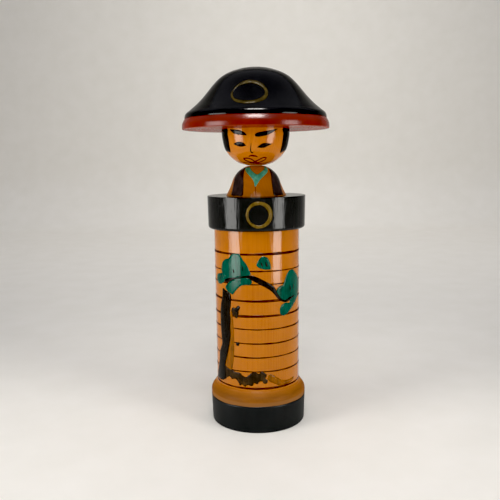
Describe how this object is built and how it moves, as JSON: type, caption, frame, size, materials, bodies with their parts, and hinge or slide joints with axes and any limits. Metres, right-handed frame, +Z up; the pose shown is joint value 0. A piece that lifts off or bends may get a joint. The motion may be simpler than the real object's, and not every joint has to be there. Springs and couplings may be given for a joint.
{
  "type": "kokeshi doll",
  "caption": "Turned wooden kokeshi doll: a bust in a wide lacquered hat on a ribbed cylindrical lantern body, with a head that turns on a dowel.",
  "frame": {"origin": "middle of the flat underside of the foot", "axes": "+Z up along the turning axis, the painted front of the doll looks along -Y, +X is to the viewer's right"},
  "size_m": [0.094, 0.094, 0.23],
  "materials": {
    "amber_wood": "amber stained wood under glossy varnish",
    "black_lacquer": "glossy black lacquer on wood",
    "red_lacquer": "glossy dark red lacquer on wood",
    "dowel_wood": "bare pale wood",
    "green_paint": "brushed blue-green paint under varnish",
    "black_paint": "brushed black paint under varnish",
    "brown_paint": "thin red-brown paint lines under varnish",
    "gold_paint": "dull gold paint"
  },
  "bodies": {
    "lantern": {"lantern_body": "amber_wood", "lantern_collar": "black_lacquer", "torso": "amber_wood", "torso_peg": "dowel_wood"},
    "head": {"head": "amber_wood", "neck_peg": "dowel_wood", "hat_peg": "dowel_wood", "hat_brim": "red_lacquer", "hat_crown": "black_lacquer"}
  },
  "joints": [
    {"name": "head_turn", "type": "hinge", "parent": "lantern", "child": "head", "pos_m": [0, 0, 0.1686], "axis": [0, 0, 1], "continuous": true}
  ]
}
